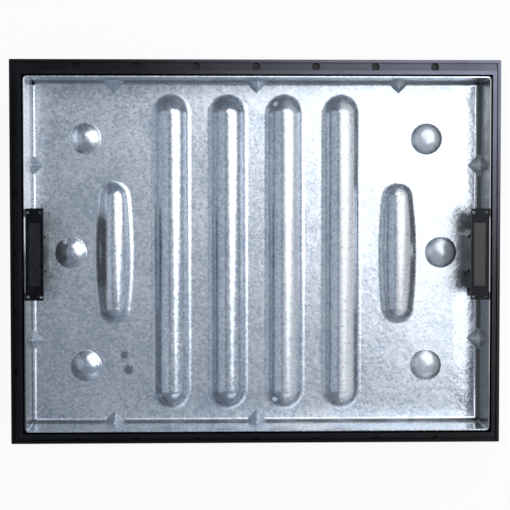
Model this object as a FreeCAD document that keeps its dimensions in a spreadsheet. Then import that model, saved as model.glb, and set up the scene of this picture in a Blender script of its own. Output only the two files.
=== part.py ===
import FreeCAD, Part
import math
import os
import re
import Sketcher
from FreeCAD import Placement, Rotation, Vector

# A recessed paving cover: a folded steel tray that holds paving, in a low plastic frame.
# Millimetres, Z up, X along the long side. The origin is the middle of the frame's base.

doc = FreeCAD.newDocument("paving_cover")

SIZES = [
    # the tray, one galvanised sheet
    ("gauge", 2.0),
    ("tray_length", 631.0),
    ("tray_width", 481.0),
    ("tray_depth", 82.0),
    ("fold_radius", 5.0),
    ("relief_hole", 5.0),
    # four long ribs and two short barrel ribs, pressed up out of the floor
    ("long_ribs", 4),
    ("rib_pitch", 79.4),
    ("rib_radius", 25.0),
    ("rib_rise", 14.0),
    ("rib_reach", 193.4),
    ("rib_foot_radius", 12.0),
    ("short_rib_place", 199.5),
    ("short_rib_reach", 77.0),
    ("short_rib_end_radius", 21.8),
    # six domes
    ("dome_radius", 38.0),
    ("dome_rise", 6.8),
    ("dome_foot_radius", 2.5),
    ("corner_dome_x", 239.0),
    ("corner_dome_y", 159.0),
    ("middle_dome_x", 259.5),
    # gusset darts across the folds
    ("dart_rise", 17.0),
    ("dart_leg", 12.5),
    ("long_wall_dart_pitch", 199.0),
    ("short_wall_dart_place", 122.0),
    # the frame, one moulding
    ("side_gap", 2.5),
    ("ledge_width", 18.0),
    ("foot_depth", 8.0),
    ("plate", 4.0),
    ("skirt", 4.0),
    ("upstand", 5.0),
    ("draft", 1.0),
    ("flange_width", 22.0),
    ("flange_level", 4.0),
    ("lip", 4.0),
    ("edge_radius", 1.5),
    ("socket_bore", 11.5),
    ("socket_depth", 6.0),
    ("socket_wall", 2.0),
    ("socket_inset", 10.0),
    ("socket_pitch", 84.0),
    ("sockets_long_side", 7),
    ("sockets_short_side", 5),
    ("stiffener", 3.0),
    # the seal strip on the ledge
    ("seal_height", 3.0),
    ("seal_width", 10.0),
    ("seal_inset", 2.0),
    # the lifting-key housings
    ("housing_drop", 2.0),
    ("housing_depth", 24.0),
    ("housing_width", 124.0),
    ("housing_plate", 4.0),
    ("housing_wall", 2.5),
    ("box_depth", 23.5),
    ("box_width", 64.0),
    ("box_corner", 8.0),
    ("wing_depth", 12.5),
    ("wing_width", 108.0),
    ("heel_chamfer", 4.0),
    ("plate_corner", 1.5),
    ("corner_hole", 4.6),
    ("corner_hole_inset", 5.0),
    ("corner_hole_edge", 3.2),
    ("window_width", 8.0),
    ("window_height", 17.0),
    ("window_sill", 49.0),
    ("key_slot_length", 44.0),
    ("key_slot_width", 9.0),
    # the push-in caps
    ("cap_length", 86.0),
    ("cap_width", 16.0),
    ("cap_thickness", 2.0),
    ("cap_gap", 0.3),
    ("cap_setback", 12.1),
    ("cap_leg", 8.0),
    ("cap_leg_reach", 7.0),
    # the steel brackets inside the housings
    ("bracket", 3.0),
    ("bracket_width", 64.0),
    ("bracket_tongue_width", 55.0),
    ("bracket_tongue_corner", 5.0),
    ("bracket_drop", 36.0),
    ("bracket_front_gap", 1.5),
    ("bracket_slot_play", 1.0),
    # blind rivets
    ("rivet", 4.8),
    ("rivet_hole", 5.0),
    ("rivet_head", 9.0),
    ("rivet_head_height", 1.2),
    ("rivet_tail", 7.0),
    ("rivet_tail_height", 2.0),
    ("rivet_spread", 25.5),
    ("rivet_level", 58.0),
]

sizes = doc.addObject("Spreadsheet::Sheet", "sizes")
for row, (alias, number) in enumerate(SIZES, start=1):
    sizes.set("A" + str(row), alias)
    sizes.set("B" + str(row), str(number))
    sizes.setAlias("B" + str(row), alias)
doc.recompute()


def cells(formula):
    """A formula in the sheet's names, written for use on another object."""
    names = [alias for alias, number in SIZES]
    return re.sub("[a-z_]+", lambda word: "sizes." + word[0] if word[0] in names else word[0], formula)


def value(formula):
    """The number that a formula in the sheet's names comes to."""
    return float(sizes.evalExpression(formula))


# Levels and places that more than one piece shares, as formulas in the sheet's names.
LEDGE = "( foot_depth + plate )"
TRAY_BASE = "( foot_depth + plate + seal_height )"
FLOOR = "( foot_depth + plate + seal_height + gauge )"
RIM = "( foot_depth + plate + seal_height + tray_depth )"
POCKET_LENGTH = "( tray_length + 2 * side_gap )"
POCKET_WIDTH = "( tray_width + 2 * side_gap )"
CLEAR_LENGTH = "( tray_length + 2 * side_gap - 2 * ledge_width )"
CLEAR_WIDTH = "( tray_width + 2 * side_gap - 2 * ledge_width )"
UPSTAND_LENGTH = "( tray_length + 2 * side_gap + 2 * upstand )"
UPSTAND_WIDTH = "( tray_width + 2 * side_gap + 2 * upstand )"
FLANGE_LENGTH = "( tray_length + 2 * side_gap + 2 * upstand + 2 * flange_width )"
FLANGE_WIDTH = "( tray_width + 2 * side_gap + 2 * upstand + 2 * flange_width )"
FOOT_SPREAD = "( 2 * tan(draft) * ( seal_height + tray_depth ) )"
INNER_WALL_X = "( tray_length / 2 - gauge )"
INNER_WALL_Y = "( tray_width / 2 - gauge )"
RIB_AXIS = "( foot_depth + plate + seal_height + gauge + rib_rise - rib_radius )"
HOUSING_TOP = "( foot_depth + plate + seal_height + tray_depth - housing_drop )"
HOUSING_CEILING = "( " + HOUSING_TOP + " - housing_plate )"
CAP_CENTRE = "( tray_length / 2 - gauge - cap_setback )"
RIVET_Z = "( " + FLOOR + " + rivet_level )"


def bind(thing, **formulas):
    """Tie properties of an object to formulas in the sheet's names."""
    for name, formula in formulas.items():
        thing.setExpression(name.replace("__", "."), cells(formula))


def new_body(name):
    """An empty body whose label is the piece's name."""
    body = doc.addObject("PartDesign::Body", name)
    body.Label = name
    body.Placement = Placement()
    return body


def origin_item(body, role):
    """One of the body's own origin planes or axes."""
    for item in body.Origin.OriginFeatures:
        if item.Role == role:
            return item


def new_sketch(body, name, role="XY_Plane", x="0", y="0", level="0"):
    """A sketch on an origin plane, its own origin moved by x, y and level in that plane."""
    sketch = body.newObject("Sketcher::SketchObject", name)
    sketch.AttachmentSupport = (origin_item(body, role), [""])
    sketch.MapMode = "FlatFace"
    bind(sketch, AttachmentOffset__Base__x=x)
    bind(sketch, AttachmentOffset__Base__y=y)
    bind(sketch, AttachmentOffset__Base__z=level)
    return sketch


def hold(sketch, kind, *places, name=None, formula=None):
    """Add a constraint, and name it and tie it to a formula where one is given."""
    if formula is None:
        sketch.addConstraint(Sketcher.Constraint(kind, *places))
        return
    index = sketch.addConstraint(Sketcher.Constraint(kind, *places, value(formula)))
    sketch.renameConstraint(index, name)
    sketch.setExpression("Constraints." + name, cells(formula))


def rectangle(sketch, length, width):
    """A rectangle centred on the sketch's origin. Two of them in one sketch make a ring."""
    half_length = value(length) / 2
    half_width = value(width) / 2
    corners = [
        Vector(-half_length, -half_width, 0),
        Vector(half_length, -half_width, 0),
        Vector(half_length, half_width, 0),
        Vector(-half_length, half_width, 0),
    ]
    first = sketch.GeometryCount
    for side in range(4):
        sketch.addGeometry(Part.LineSegment(corners[side], corners[(side + 1) % 4]), False)
    for side in range(4):
        hold(sketch, "Coincident", first + side, 2, first + (side + 1) % 4, 1)
    for side in (0, 2):
        hold(sketch, "Horizontal", first + side)
        hold(sketch, "Vertical", first + side + 1)
    hold(sketch, "Symmetric", first, 1, first + 1, 2, -1, 1)
    hold(sketch, "DistanceX", first, 1, first, 2, name="length_" + str(first), formula=length)
    hold(sketch, "DistanceY", first + 1, 1, first + 1, 2, name="width_" + str(first), formula=width)


def round_spot(sketch, diameter, x="0", y="0"):
    """A circle whose centre stands at x and y from the sketch's origin."""
    centre = Vector(value(x), value(y), 0)
    spot = sketch.addGeometry(Part.Circle(centre, Vector(0, 0, 1), value(diameter) / 2), False)
    tag = str(spot)
    hold(sketch, "Diameter", spot, name="bore_" + tag, formula=diameter)
    if x == "0":
        hold(sketch, "PointOnObject", spot, 3, -2)
    else:
        hold(sketch, "DistanceX", -1, 1, spot, 3, name="x_" + tag, formula=x)
    if y == "0":
        hold(sketch, "PointOnObject", spot, 3, -1)
    else:
        hold(sketch, "DistanceY", -1, 1, spot, 3, name="y_" + tag, formula=y)


def pad(body, sketch, height, name):
    """Raise a sketch upwards."""
    feature = body.newObject("PartDesign::Pad", name)
    feature.Profile = sketch
    bind(feature, Length=height)
    doc.recompute()
    return feature


def pocket(body, sketch, depth, name, upwards=False):
    """Cut a sketch down into the piece, or up into it from below."""
    before = body.Shape.Volume
    feature = body.newObject("PartDesign::Pocket", name)
    feature.Profile = sketch
    feature.Reversed = upwards
    bind(feature, Length=depth)
    doc.recompute()
    if not body.Shape.Volume < before:
        raise ValueError(name + " cuts nothing")
    return feature


def grid(body, features, name, first=None, second=None):
    """Repeat features along X and Y. Each direction is a length and a count, as formulas."""
    pattern = body.newObject("PartDesign::LinearPattern", name)
    pattern.Originals = features
    pattern.Direction = (origin_item(body, "X_Axis"), [""])
    pattern.Direction2 = (origin_item(body, "Y_Axis"), [""])
    length, count = first or ("1", "1")
    bind(pattern, Length=length, Occurrences=count)
    length, count = second or ("1", "1")
    bind(pattern, Length2=length, Occurrences2=count)
    body.Tip = pattern
    doc.recompute()
    return pattern


def edges_within(shape, low, high, test=None):
    """The names of the edges that lie wholly between two corners."""
    names = []
    slack = 0.01
    for index, edge in enumerate(shape.Edges, start=1):
        box = edge.BoundBox
        inside = box.XMin > low[0] - slack and box.XMax < high[0] + slack
        inside = inside and box.YMin > low[1] - slack and box.YMax < high[1] + slack
        inside = inside and box.ZMin > low[2] - slack and box.ZMax < high[2] + slack
        if inside and (test is None or test(edge)):
            names.append("Edge" + str(index))
    return names


def round_off(body, edges, radius, name):
    """Give edges of the newest feature a radius."""
    base = body.Tip
    feature = body.newObject("PartDesign::Fillet", name)
    feature.Base = (base, edges)
    bind(feature, Radius=radius)
    doc.recompute()
    return feature


def bevel_off(body, edges, leg, name):
    """Give edges of the newest feature a 45 degree chamfer."""
    base = body.Tip
    feature = body.newObject("PartDesign::Chamfer", name)
    feature.Base = (base, edges)
    bind(feature, Size=leg)
    doc.recompute()
    return feature


def block(body, name, lengths, centre, cut=False):
    """A box, added or cut. Lengths along X, Y and Z; its foot is centred on centre."""
    kind = "PartDesign::SubtractiveBox" if cut else "PartDesign::AdditiveBox"
    box = body.newObject(kind, name)
    bind(box, Length=lengths[0], Width=lengths[1], Height=lengths[2])
    bind(box, Placement__Base__x=centre[0] + " - " + lengths[0] + " / 2")
    bind(box, Placement__Base__y=centre[1] + " - " + lengths[1] + " / 2")
    bind(box, Placement__Base__z=centre[2])
    doc.recompute()
    return box


def cross_bore(body, name, diameter, length, start):
    """A round hole along X from a start point."""
    bore = body.newObject("PartDesign::SubtractiveCylinder", name)
    bore.Placement = Placement(Vector(), Rotation(Vector(0, 1, 0), 90))
    bind(bore, Radius=diameter + " / 2", Height=length)
    bind(bore, Placement__Base__x=start[0])
    bind(bore, Placement__Base__y=start[1])
    bind(bore, Placement__Base__z=start[2])
    doc.recompute()
    return bore


def row_and_mirrors(body, features, name, row=None, mirrors=()):
    """Repeat features in a row along X and over origin planes, in one step."""
    whole = body.newObject("PartDesign::MultiTransform", name)
    whole.Originals = features
    steps = []
    if row:
        line = body.newObject("PartDesign::LinearPattern", name + "_line")
        line.Direction = (origin_item(body, "X_Axis"), [""])
        bind(line, Length=row[0], Occurrences=row[1])
        steps.append(line)
    for role in mirrors:
        mirror = body.newObject("PartDesign::Mirrored", name + "_" + role)
        mirror.MirrorPlane = (origin_item(body, role), [""])
        steps.append(mirror)
    whole.Transformations = steps
    body.Tip = whole
    doc.recompute()
    return whole


def pressed_section(sketch, crest, foot, rise, half=False):
    """The section of a pressed form on a flat sheet: a round crest on two round feet.

    The sheet's surface is the sketch's X axis. The section is closed half a gauge below it, and
    half a section is closed up the middle.
    """
    crest_radius = value(crest)
    foot_radius = value(foot)
    top = value(rise)
    depth = value("gauge / 2")
    joined = crest_radius + foot_radius
    spread = math.sqrt(joined ** 2 - (joined - top) ** 2)
    slope = math.atan2(joined - top, spread)
    up = Vector(0, 0, 1)
    crest_circle = Part.Circle(Vector(0, top - crest_radius, 0), up, crest_radius)
    right_foot = Part.Circle(Vector(spread, foot_radius, 0), up, foot_radius)
    left_foot = Part.Circle(Vector(-spread, foot_radius, 0), up, foot_radius)
    edge = Vector(0 if half else -spread, -depth, 0)
    sketch.addGeometry(Part.LineSegment(edge, Vector(spread, -depth, 0)), False)
    sketch.addGeometry(Part.LineSegment(Vector(spread, -depth, 0), Vector(spread, 0, 0)), False)
    sketch.addGeometry(Part.ArcOfCircle(right_foot, math.pi + slope, 1.5 * math.pi), False)
    end = math.pi / 2 if half else math.pi - slope
    sketch.addGeometry(Part.ArcOfCircle(crest_circle, slope, end), False)
    hold(sketch, "Horizontal", 0)
    hold(sketch, "Vertical", 1)
    hold(sketch, "Coincident", 0, 2, 1, 1)
    hold(sketch, "Coincident", 1, 2, 2, 2)
    hold(sketch, "Tangent", 2, 1, 3, 1)
    hold(sketch, "Vertical", 2, 3, 2, 2)
    hold(sketch, "PointOnObject", 2, 2, -1)
    hold(sketch, "PointOnObject", 3, 3, -2)
    if half:
        sketch.addGeometry(Part.LineSegment(Vector(0, top, 0), Vector(0, -depth, 0)), False)
        hold(sketch, "Coincident", 3, 2, 4, 1)
        hold(sketch, "Coincident", 4, 2, 0, 1)
        hold(sketch, "PointOnObject", 4, 1, -2)
        hold(sketch, "Vertical", 4)
    else:
        sketch.addGeometry(Part.ArcOfCircle(left_foot, 1.5 * math.pi, 2 * math.pi - slope), False)
        sketch.addGeometry(Part.LineSegment(Vector(-spread, 0, 0), Vector(-spread, -depth, 0)), False)
        hold(sketch, "Tangent", 3, 2, 4, 2)
        hold(sketch, "Vertical", 4, 3, 4, 1)
        hold(sketch, "PointOnObject", 4, 1, -1)
        hold(sketch, "Equal", 2, 4)
        hold(sketch, "Coincident", 4, 1, 5, 1)
        hold(sketch, "Coincident", 5, 2, 0, 1)
        hold(sketch, "Vertical", 5)
    hold(sketch, "Radius", 2, name="foot", formula=foot)
    hold(sketch, "Radius", 3, name="crest", formula=crest)
    hold(sketch, "DistanceY", 3, 3, -1, 1, name="crest_centre", formula=crest + " - " + rise)
    hold(sketch, "DistanceY", 1, 1, 1, 2, name="depth", formula="gauge / 2")


def turned_form(body, name, x, y, crest, foot, rise, cut=False):
    """A pressed section turned about an upright axis at x and y, raised or hollowed."""
    section = new_sketch(body, name + "_section", "XZ_Plane", x=x, y=TRAY_BASE if cut else FLOOR,
                         level="- " + y)
    pressed_section(section, crest, foot, rise, half=True)
    turned = body.newObject("PartDesign::Groove" if cut else "PartDesign::Revolution", name)
    turned.Profile = section
    turned.ReferenceAxis = (section, ["V_Axis"])
    turned.Angle = 360
    doc.recompute()
    return turned


def press_long_ribs(body):
    """Straight ribs across the floor: a run with two turned ends, raised and then hollowed."""
    first_x = "( 1 - long_ribs ) * rib_pitch / 2"
    features = []
    for cut in (False, True):
        tag = "hollow" if cut else "rib"
        crest = "( rib_radius - gauge )" if cut else "rib_radius"
        foot = "( rib_foot_radius + gauge )" if cut else "rib_foot_radius"
        section = new_sketch(body, "long_" + tag + "_section", "XZ_Plane", x=first_x,
                             y=TRAY_BASE if cut else FLOOR)
        pressed_section(section, crest, foot, "rib_rise")
        run = body.newObject("PartDesign::Pocket" if cut else "PartDesign::Pad", "long_" + tag)
        run.Profile = section
        run.SideType = "Symmetric"
        bind(run, Length="2 * rib_reach")
        doc.recompute()
        features.append(run)
        for end, reach in (("near", "( - rib_reach )"), ("far", "rib_reach")):
            features.append(turned_form(body, "long_" + tag + "_" + end, first_x, reach, crest,
                                        foot, "rib_rise", cut))
    grid(body, features, "long_ribs", first=("( long_ribs - 1 ) * rib_pitch", "long_ribs"))


def press_domes(body, name, x, y="0"):
    """Domes at plus and minus x and y."""
    raised = turned_form(body, name, "( - " + x + " )", "( - " + y + " )", "dome_radius",
                         "dome_foot_radius", "dome_rise")
    hollow = turned_form(body, name + "_hollow", "( - " + x + " )", "( - " + y + " )",
                         "( dome_radius - gauge )", "( dome_foot_radius + gauge )", "dome_rise",
                         cut=True)
    second = None if y == "0" else ("2 * " + y, "2")
    grid(body, [raised, hollow], name + "s", first=("2 * " + x, "2"), second=second)


def barrel_outline(sketch, middle, end, reach):
    """Half a barrel from above, closed along its axis: a long side arc and two round ends."""
    end_radius = value(end)
    end_centre = value(reach)
    side_radius = f"( ( {reach} * {reach} + {middle} * {middle} - {end} * {end} )"
    side_radius += f" / ( 2 * ( {middle} - {end} ) ) )"
    side_centre = value(middle) - value(side_radius)
    lean = math.atan2(end_centre, -side_centre)
    up = Vector(0, 0, 1)
    tip = end_centre + end_radius
    far_end = Part.Circle(Vector(0, end_centre, 0), up, end_radius)
    near_end = Part.Circle(Vector(0, -end_centre, 0), up, end_radius)
    side = Part.Circle(Vector(side_centre, 0, 0), up, value(side_radius))
    sketch.addGeometry(Part.LineSegment(Vector(0, -tip, 0), Vector(0, tip, 0)), False)
    sketch.addGeometry(Part.ArcOfCircle(far_end, lean, math.pi / 2), False)
    sketch.addGeometry(Part.ArcOfCircle(side, -lean, lean), False)
    sketch.addGeometry(Part.ArcOfCircle(near_end, -math.pi / 2, -lean), False)
    hold(sketch, "Tangent", 2, 2, 1, 1)
    hold(sketch, "Tangent", 3, 2, 2, 1)
    hold(sketch, "Coincident", 1, 2, 0, 2)
    hold(sketch, "Coincident", 0, 1, 3, 1)
    hold(sketch, "PointOnObject", 1, 3, -2)
    hold(sketch, "PointOnObject", 3, 3, -2)
    hold(sketch, "PointOnObject", 0, 1, -2)
    hold(sketch, "Vertical", 0)
    hold(sketch, "DistanceY", -1, 1, 1, 3, name="far_centre", formula=reach)
    hold(sketch, "DistanceY", 3, 3, -1, 1, name="near_centre", formula=reach)
    hold(sketch, "Radius", 1, name="far_radius", formula=end)
    hold(sketch, "Radius", 3, name="near_radius", formula=end)
    hold(sketch, "Radius", 2, name="side_radius", formula=side_radius)


def press_short_ribs(body):
    """Barrel ribs: raised, cut off level with the sheet below, hollowed, and given round feet."""
    for cut in (False, True):
        tag = "short_hollow" if cut else "short_rib"
        thinner = " - gauge" if cut else ""
        outline = new_sketch(body, tag + "_outline", x="- short_rib_place", level=RIB_AXIS)
        barrel_outline(outline, "( rib_radius" + thinner + " )",
                       "( short_rib_end_radius" + thinner + " )", "short_rib_reach")
        turned = body.newObject("PartDesign::Groove" if cut else "PartDesign::Revolution", tag)
        turned.Profile = outline
        turned.ReferenceAxis = (outline, ["V_Axis"])
        turned.Angle = 360
        doc.recompute()
        grid(body, [turned], tag + "s", first=("2 * short_rib_place", "2"))
        if not cut:
            block(body, "below_floor", ("tray_length", "tray_width", "2 * rib_radius"),
                  ("0", "0", TRAY_BASE + " - 2 * rib_radius"), cut=True)
    for level, radius, name in ((FLOOR, "rib_foot_radius", "short_rib_feet"),
                                (TRAY_BASE, "rib_foot_radius + gauge", "short_hollow_feet")):
        half_width = value("rib_radius")
        half_length = value("short_rib_reach + short_rib_end_radius")
        edges = []
        for x in (-value("short_rib_place"), value("short_rib_place")):
            low = (x - half_width, -half_length, value(level))
            high = (x + half_width, half_length, value(level))
            edges += edges_within(body.Shape, low, high)
        round_off(body, edges, radius, name)


def press_dart(body, name, x, y, cut=False):
    """A gusset dart, a square pyramid that stands on its corner across the fold."""
    dart = body.newObject("PartDesign::SubtractiveWedge" if cut else "PartDesign::AdditiveWedge", name)
    dart.Placement = Placement(Vector(), Rotation(Vector(0, 0, 1), 45) * Rotation(Vector(1, 0, 0), 90))
    bind(dart, Xmin="- dart_leg / sqrt(2)", Xmax="dart_leg / sqrt(2)")
    bind(dart, Zmin="- dart_leg / sqrt(2)", Zmax="dart_leg / sqrt(2)")
    bind(dart, Ymin="0", Ymax="dart_rise", X2min="0", X2max="0", Z2min="0", Z2max="0")
    bind(dart, Placement__Base__x=x, Placement__Base__y=y)
    bind(dart, Placement__Base__z=TRAY_BASE if cut else FLOOR)
    doc.recompute()
    return dart


def press_darts(body):
    """Three darts on each long wall and two on each short wall, trimmed outside and hollowed."""
    for cut in (False, True):
        wall_x = "tray_length / 2" if cut else INNER_WALL_X
        wall_y = "tray_width / 2" if cut else INNER_WALL_Y
        tag = "dart_hollow" if cut else "dart"
        long_wall = press_dart(body, "long_wall_" + tag, "- long_wall_dart_pitch", "- " + wall_y, cut)
        row_and_mirrors(body, [long_wall], "long_wall_" + tag + "s",
                        ("2 * long_wall_dart_pitch", "3"), ["XZ_Plane"])
        short_wall = press_dart(body, "short_wall_" + tag, "- " + wall_x,
                                "- short_wall_dart_place", cut)
        row_and_mirrors(body, [short_wall], "short_wall_" + tag + "s", None,
                        ["XZ_Plane", "YZ_Plane"])
        if not cut:
            around = new_sketch(body, "around_tray", level=RIM)
            rectangle(around, "tray_length + 4 * dart_leg", "tray_width + 4 * dart_leg")
            rectangle(around, "tray_length", "tray_width")
            pocket(body, around, "tray_depth", "outside_walls")


def make_tray():
    """The tray, folded and pressed from one sheet."""
    body = new_body("tray")
    outline = new_sketch(body, "tray_outline", level=TRAY_BASE)
    rectangle(outline, "tray_length", "tray_width")
    whole = pad(body, outline, "tray_depth", "tray_block")
    far = value("tray_length")
    low = (-far, -far, value(TRAY_BASE))
    high = (far, far, value(RIM))
    just_below_rim = (-far, -far, value(RIM))
    rim_edges = edges_within(whole.Shape, just_below_rim, high)
    folds = [name for name in edges_within(whole.Shape, low, high) if name not in rim_edges]
    folded = round_off(body, folds, "fold_radius", "folds")
    top = [
        "Face" + str(index)
        for index, face in enumerate(folded.Shape.Faces, start=1)
        if face.BoundBox.ZMin > value(RIM) - 0.01
    ]
    walls = body.newObject("PartDesign::Thickness", "sheet_walls")
    walls.Base = (folded, top)
    walls.Reversed = True
    walls.Join = "Arc"
    bind(walls, Value="gauge")
    doc.recompute()

    press_long_ribs(body)
    press_short_ribs(body)
    press_domes(body, "corner_dome", "corner_dome_x", "corner_dome_y")
    press_domes(body, "middle_dome", "middle_dome_x")
    press_darts(body)

    # Relief holes where the fold lines cross, and the rivet holes high in the short walls.
    reliefs = new_sketch(body, "relief_spot", x="- ( tray_length / 2 - fold_radius )",
                         y="- ( tray_width / 2 - fold_radius )", level=TRAY_BASE)
    round_spot(reliefs, "relief_hole")
    relief = pocket(body, reliefs, "fold_radius", "relief_hole_cut", upwards=True)
    grid(body, [relief], "relief_holes", ("tray_length - 2 * fold_radius", "2"),
         ("tray_width - 2 * fold_radius", "2"))
    bore = cross_bore(body, "rivet_bore", "rivet_hole", "tray_length + 2 * gauge",
                      ("- ( tray_length / 2 + gauge )", "- rivet_spread", RIVET_Z))
    grid(body, [bore], "rivet_bores", None, ("2 * rivet_spread", "2"))
    return body


def make_frame():
    """The frame, one moulding: flange, upstand, ledge and skirt."""
    body = new_body("frame")
    foot = new_sketch(body, "foot_outline")
    rectangle(foot, FLANGE_LENGTH, FLANGE_WIDTH)
    pad(body, foot, LEDGE, "foot")
    wall = new_sketch(body, "upstand_outline", level=LEDGE)
    rectangle(wall, UPSTAND_LENGTH + " + " + FOOT_SPREAD, UPSTAND_WIDTH + " + " + FOOT_SPREAD)
    raised = body.newObject("PartDesign::Pad", "upstand_block")
    raised.Profile = wall
    bind(raised, Length="seal_height + tray_depth", TaperAngle="- draft")
    doc.recompute()
    bay = new_sketch(body, "tray_pocket_outline", level=RIM)
    rectangle(bay, POCKET_LENGTH, POCKET_WIDTH)
    pocket(body, bay, "seal_height + tray_depth", "tray_pocket")
    clear = new_sketch(body, "clear_opening_outline", level=LEDGE)
    rectangle(clear, CLEAR_LENGTH, CLEAR_WIDTH)
    pocket(body, clear, LEDGE, "clear_opening")
    channel = new_sketch(body, "channel_outline", level=LEDGE)
    rectangle(channel, FLANGE_LENGTH + " - 2 * lip", FLANGE_WIDTH + " - 2 * lip")
    rectangle(channel, UPSTAND_LENGTH + " + " + FOOT_SPREAD, UPSTAND_WIDTH + " + " + FOOT_SPREAD)
    pocket(body, channel, LEDGE + " - flange_level - plate", "channel")
    under_flange = new_sketch(body, "under_flange_outline")
    rectangle(under_flange, FLANGE_LENGTH + " - 2 * lip", FLANGE_WIDTH + " - 2 * lip")
    rectangle(under_flange, UPSTAND_LENGTH + " + " + FOOT_SPREAD,
              UPSTAND_WIDTH + " + " + FOOT_SPREAD)
    pocket(body, under_flange, "flange_level", "under_flange", upwards=True)
    under_ledge = new_sketch(body, "under_ledge_outline")
    rectangle(under_ledge, POCKET_LENGTH, POCKET_WIDTH)
    rectangle(under_ledge, CLEAR_LENGTH + " + 2 * skirt", CLEAR_WIDTH + " + 2 * skirt")
    pocket(body, under_ledge, "foot_depth", "under_ledge", upwards=True)
    outer = value(FLANGE_LENGTH) / 2
    corners = edges_within(body.Shape, (-outer, -outer, 0), (outer, outer, value(LEDGE)), is_corner)
    round_off(body, corners, "edge_radius", "flange_corners")

    # Sockets open into the channel, in square bosses below the flange.
    long_row = ("( sockets_long_side - 1 ) * socket_pitch", "sockets_long_side")
    long_place = FLANGE_WIDTH + " / 2 - socket_inset"
    short_row = ("( sockets_short_side - 1 ) * socket_pitch", "sockets_short_side")
    short_place = FLANGE_LENGTH + " / 2 - socket_inset"
    for name, x, y, first, second in (
        ("long_side", "( 1 - sockets_long_side ) * socket_pitch / 2", "- ( " + long_place + " )",
         long_row, ("2 * ( " + long_place + " )", "2")),
        ("short_side", "- ( " + short_place + " )", "( 1 - sockets_short_side ) * socket_pitch / 2",
         ("2 * ( " + short_place + " )", "2"), short_row),
    ):
        boss_side = "( socket_bore + 2 * socket_wall )"
        boss = block(body, name + "_boss", (boss_side, boss_side, "flange_level"), (x, y, "0"))
        grid(body, [boss], name + "_bosses", first, second)
        socket_spot = new_sketch(body, name + "_socket_spot", x=x, y=y,
                                 level="flange_level + plate")
        round_spot(socket_spot, "socket_bore")
        socket = pocket(body, socket_spot, "socket_depth", name + "_socket")
        grid(body, [socket], name + "_sockets", first, second)

    # Stiffeners stand midway between the sockets, under the flange and under the ledge.
    for side, sockets, clear, outside in (
        ("long_side", "sockets_long_side", CLEAR_WIDTH, UPSTAND_WIDTH),
        ("short_side", "sockets_short_side", CLEAR_LENGTH, UPSTAND_LENGTH),
    ):
        row = (f"( {sockets} - 2 ) * socket_pitch", f"{sockets} - 1")
        for level, reach, height, place in (
            ("flange", "( flange_width - lip )", "flange_level",
             f"( {outside} + flange_width - lip ) / 2"),
            ("ledge", "( ledge_width - skirt )", "foot_depth",
             f"( {clear} + skirt + ledge_width ) / 2"),
        ):
            lengths = ["stiffener", reach]
            centre = [f"( 2 - {sockets} ) * socket_pitch / 2", "- " + place]
            rows = [row, ("2 * " + place, "2")]
            if side == "short_side":
                lengths.reverse()
                centre.reverse()
                rows.reverse()
            name = side + "_" + level + "_stiffener"
            stiffener = block(body, name, (*lengths, height), (*centre, "0"))
            grid(body, [stiffener], name + "s", *rows)
    return body


def is_corner(edge):
    """Whether an edge is one of the frame's outermost upright corners."""
    box = edge.BoundBox
    upright = box.XLength < 0.01 and box.YLength < 0.01
    return upright and abs(abs(box.XMin) - value(FLANGE_LENGTH) / 2) < 0.01


def make_seal():
    """The soft strip ring that the tray lies on."""
    body = new_body("seal")
    ring = new_sketch(body, "seal_outline", level=LEDGE)
    inner_length = CLEAR_LENGTH + " + 2 * seal_inset"
    inner_width = CLEAR_WIDTH + " + 2 * seal_inset"
    rectangle(ring, inner_length + " + 2 * seal_width", inner_width + " + 2 * seal_width")
    rectangle(ring, inner_length, inner_width)
    pad(body, ring, "seal_height", "seal_strip")
    return body


def turn_to_side(body, side):
    """Place a piece modelled at the right-hand wall, turned half round for the left-hand one."""
    angle = 180 if side == "left" else 0
    body.Placement = Placement(Vector(), Rotation(Vector(0, 0, 1), angle))


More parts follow.
